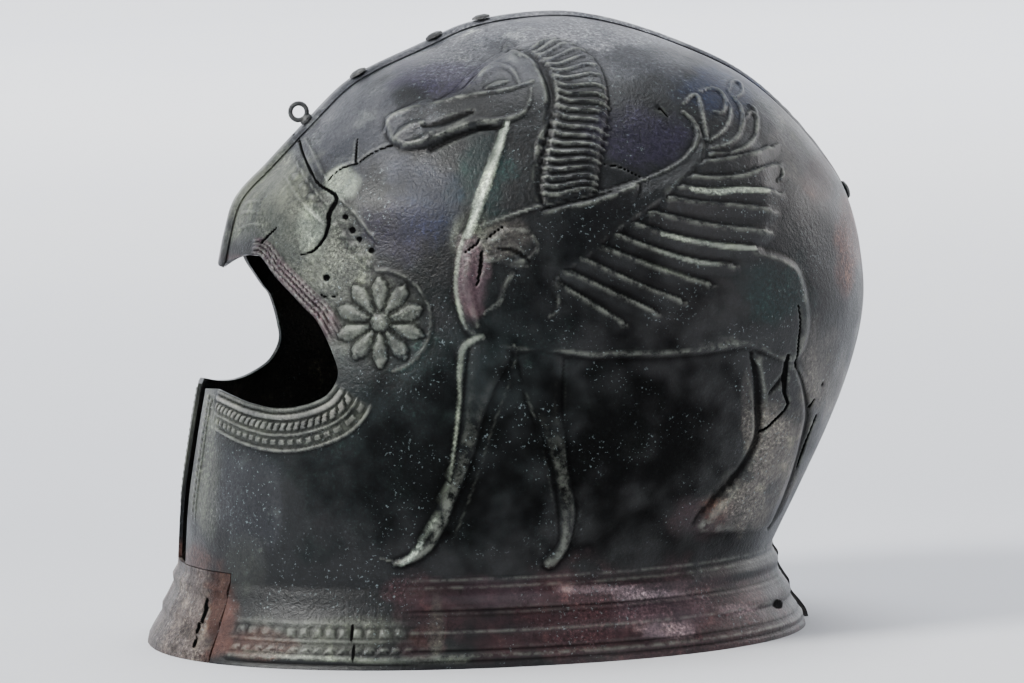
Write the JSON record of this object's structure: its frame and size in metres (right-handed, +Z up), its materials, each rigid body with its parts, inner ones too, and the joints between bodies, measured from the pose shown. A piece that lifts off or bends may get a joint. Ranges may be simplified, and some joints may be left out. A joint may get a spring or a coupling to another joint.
{
  "type": "greek bronze helmet",
  "caption": "Open-faced ancient helmet of two lapped bronze halves with a flared neck rim, brow peak, narrow cheek slit and a raised winged horse and rosette on each side.",
  "frame": {"origin": "on the floor under the middle of the helmet's bounding box", "axes": "+Z up, -X the way the face looks, +Y toward the wearer's right"},
  "size_m": [0.2592, 0.1866, 0.2195],
  "materials": {
    "bronze": "dark green-black patinated bronze, worn",
    "rivet": "dark patinated bronze",
    "wire": "grey-green patinated bronze wire",
    "infill": "matt taupe filler, worn brown at its edges"
  },
  "bodies": {
    "root": {"left_half": "bronze", "right_half": "bronze", "rivet_brow": "rivet", "rivet_crown": "rivet", "rivet_top": "rivet", "rivet_nape": "rivet", "crest_loop": "wire", "chin_infill": "infill"}
  },
  "joints": []
}
